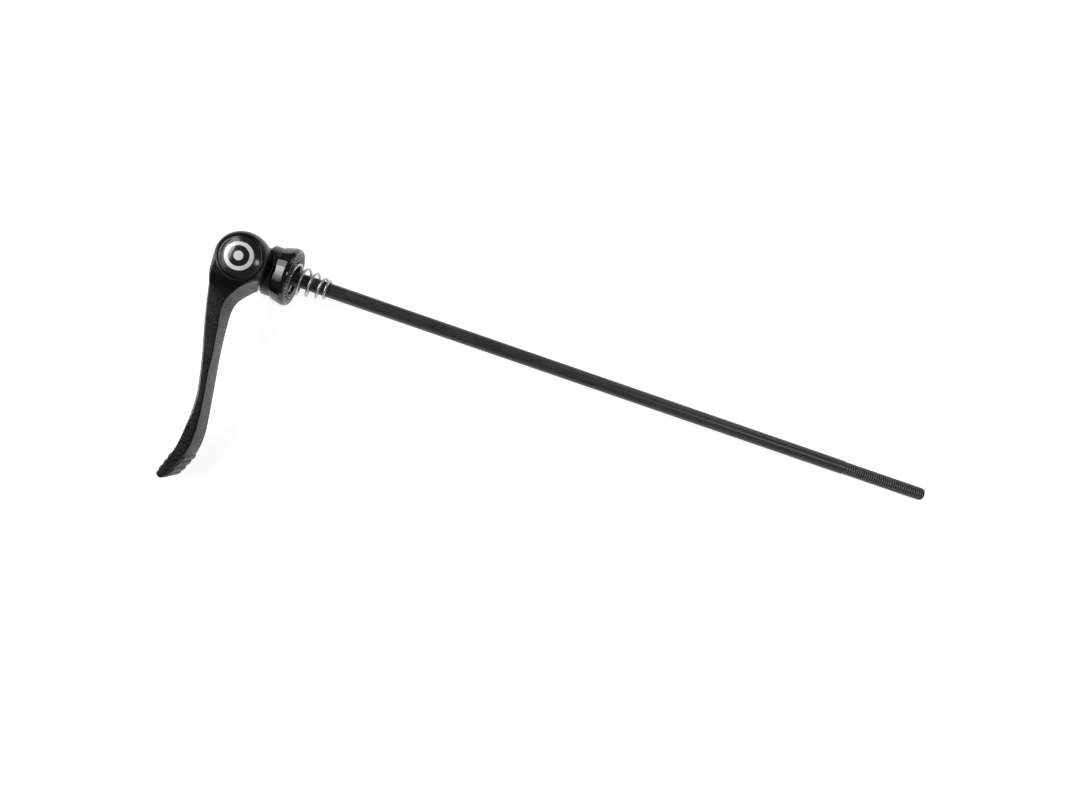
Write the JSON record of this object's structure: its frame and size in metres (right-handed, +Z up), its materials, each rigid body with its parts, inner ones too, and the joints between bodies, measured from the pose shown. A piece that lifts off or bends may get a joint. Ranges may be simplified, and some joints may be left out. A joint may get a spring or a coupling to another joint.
{
  "type": "quick release skewer",
  "caption": "Hub quick release skewer: an open bent lever turns a hidden cam that draws a long rod; toothed clamp cup, conical spring, bare threaded end.",
  "frame": {"origin": "middle of the toothed clamp face, on the rod's axis", "axes": "+Z up as the skewer lies at rest on the cup's rim, the rod's tip and the lever's paddle; +X along the ground from the clamp face towards the threaded end, with the rod dipping to it by under 2 degrees; the open lever points to -Y"},
  "size_m": [0.2612, 0.0855, 0.0248],
  "materials": {
    "lever_alloy": "black anodised, fine speckle, satin gloss",
    "housing_alloy": "black anodised, satin",
    "cap_gloss": "clear-coated gloss black",
    "cup_gloss": "high gloss black",
    "ring_steel": "dark hardened steel",
    "spring_steel": "bright drawn wire",
    "rod_steel": "black oxide, faint drawing lines",
    "fastener_steel": "zinc-plated",
    "cam_steel": "ground and greased",
    "bush_brass": "turned",
    "washer_nylon": "natural nylon"
  },
  "bodies": {
    "housing": {"housing": "housing_alloy", "cup": "cup_gloss", "toothed_ring": "ring_steel", "front_bush": "bush_brass", "rear_bush": "bush_brass", "friction_washer": "washer_nylon", "conical_spring": "spring_steel"},
    "lever": {"lever": "lever_alloy", "lever_cap": "cap_gloss", "lever_screw": "fastener_steel", "cam_shaft": "cam_steel", "rear_washer": "fastener_steel", "cam_nut": "fastener_steel"},
    "rod": {"skewer_rod": "rod_steel"}
  },
  "joints": [
    {"name": "lever_hinge", "type": "hinge", "parent": "housing", "child": "lever", "pos_m": [-0.01524, 0, 0.00049], "axis": [-0.032, 0.1531, -0.9877], "range_deg": [0, 180]},
    {"name": "rod_draw", "type": "slide", "parent": "housing", "child": "rod", "axis": [-0.9995, 0, 0.0324], "range_m": [0, 0.0022]}
  ],
  "couplings": [
    {"joint": "rod_draw", "follows": "lever_hinge", "m_per_rad": 0.0007002}
  ]
}
